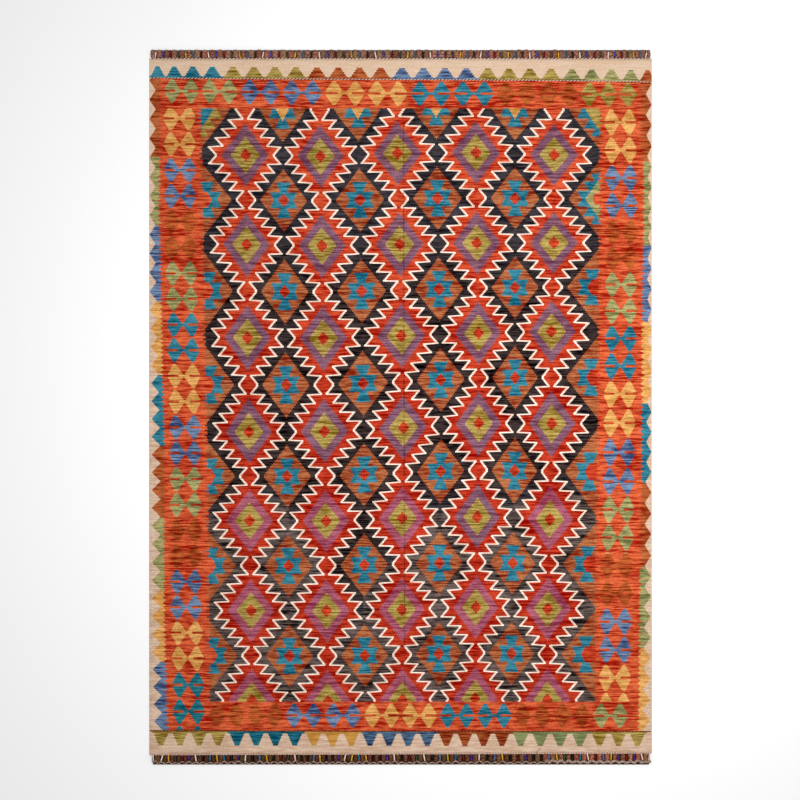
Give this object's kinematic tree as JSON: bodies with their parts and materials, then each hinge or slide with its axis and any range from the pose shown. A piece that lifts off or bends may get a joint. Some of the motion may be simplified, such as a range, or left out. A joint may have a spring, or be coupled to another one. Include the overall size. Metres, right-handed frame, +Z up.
{
  "type": "kilim rug",
  "caption": "Flat-woven rectangular kilim rug lying flat, with a knotted braid of dark yarn along each short end.",
  "frame": {"origin": "on the floor under the middle of the rug", "axes": "+X across the rug, +Y along it towards the far end, +Z up out of the pile-less face"},
  "size_m": [2.01, 2.862, 0.009],
  "materials": {
    "kilim_wool": "matte hand-woven wool",
    "braid_yarn": "matte plied yarn"
  },
  "bodies": {
    "root": {"kilim_panel": "kilim_wool", "end_braid_far": "braid_yarn", "end_braid_near": "braid_yarn"}
  },
  "joints": []
}
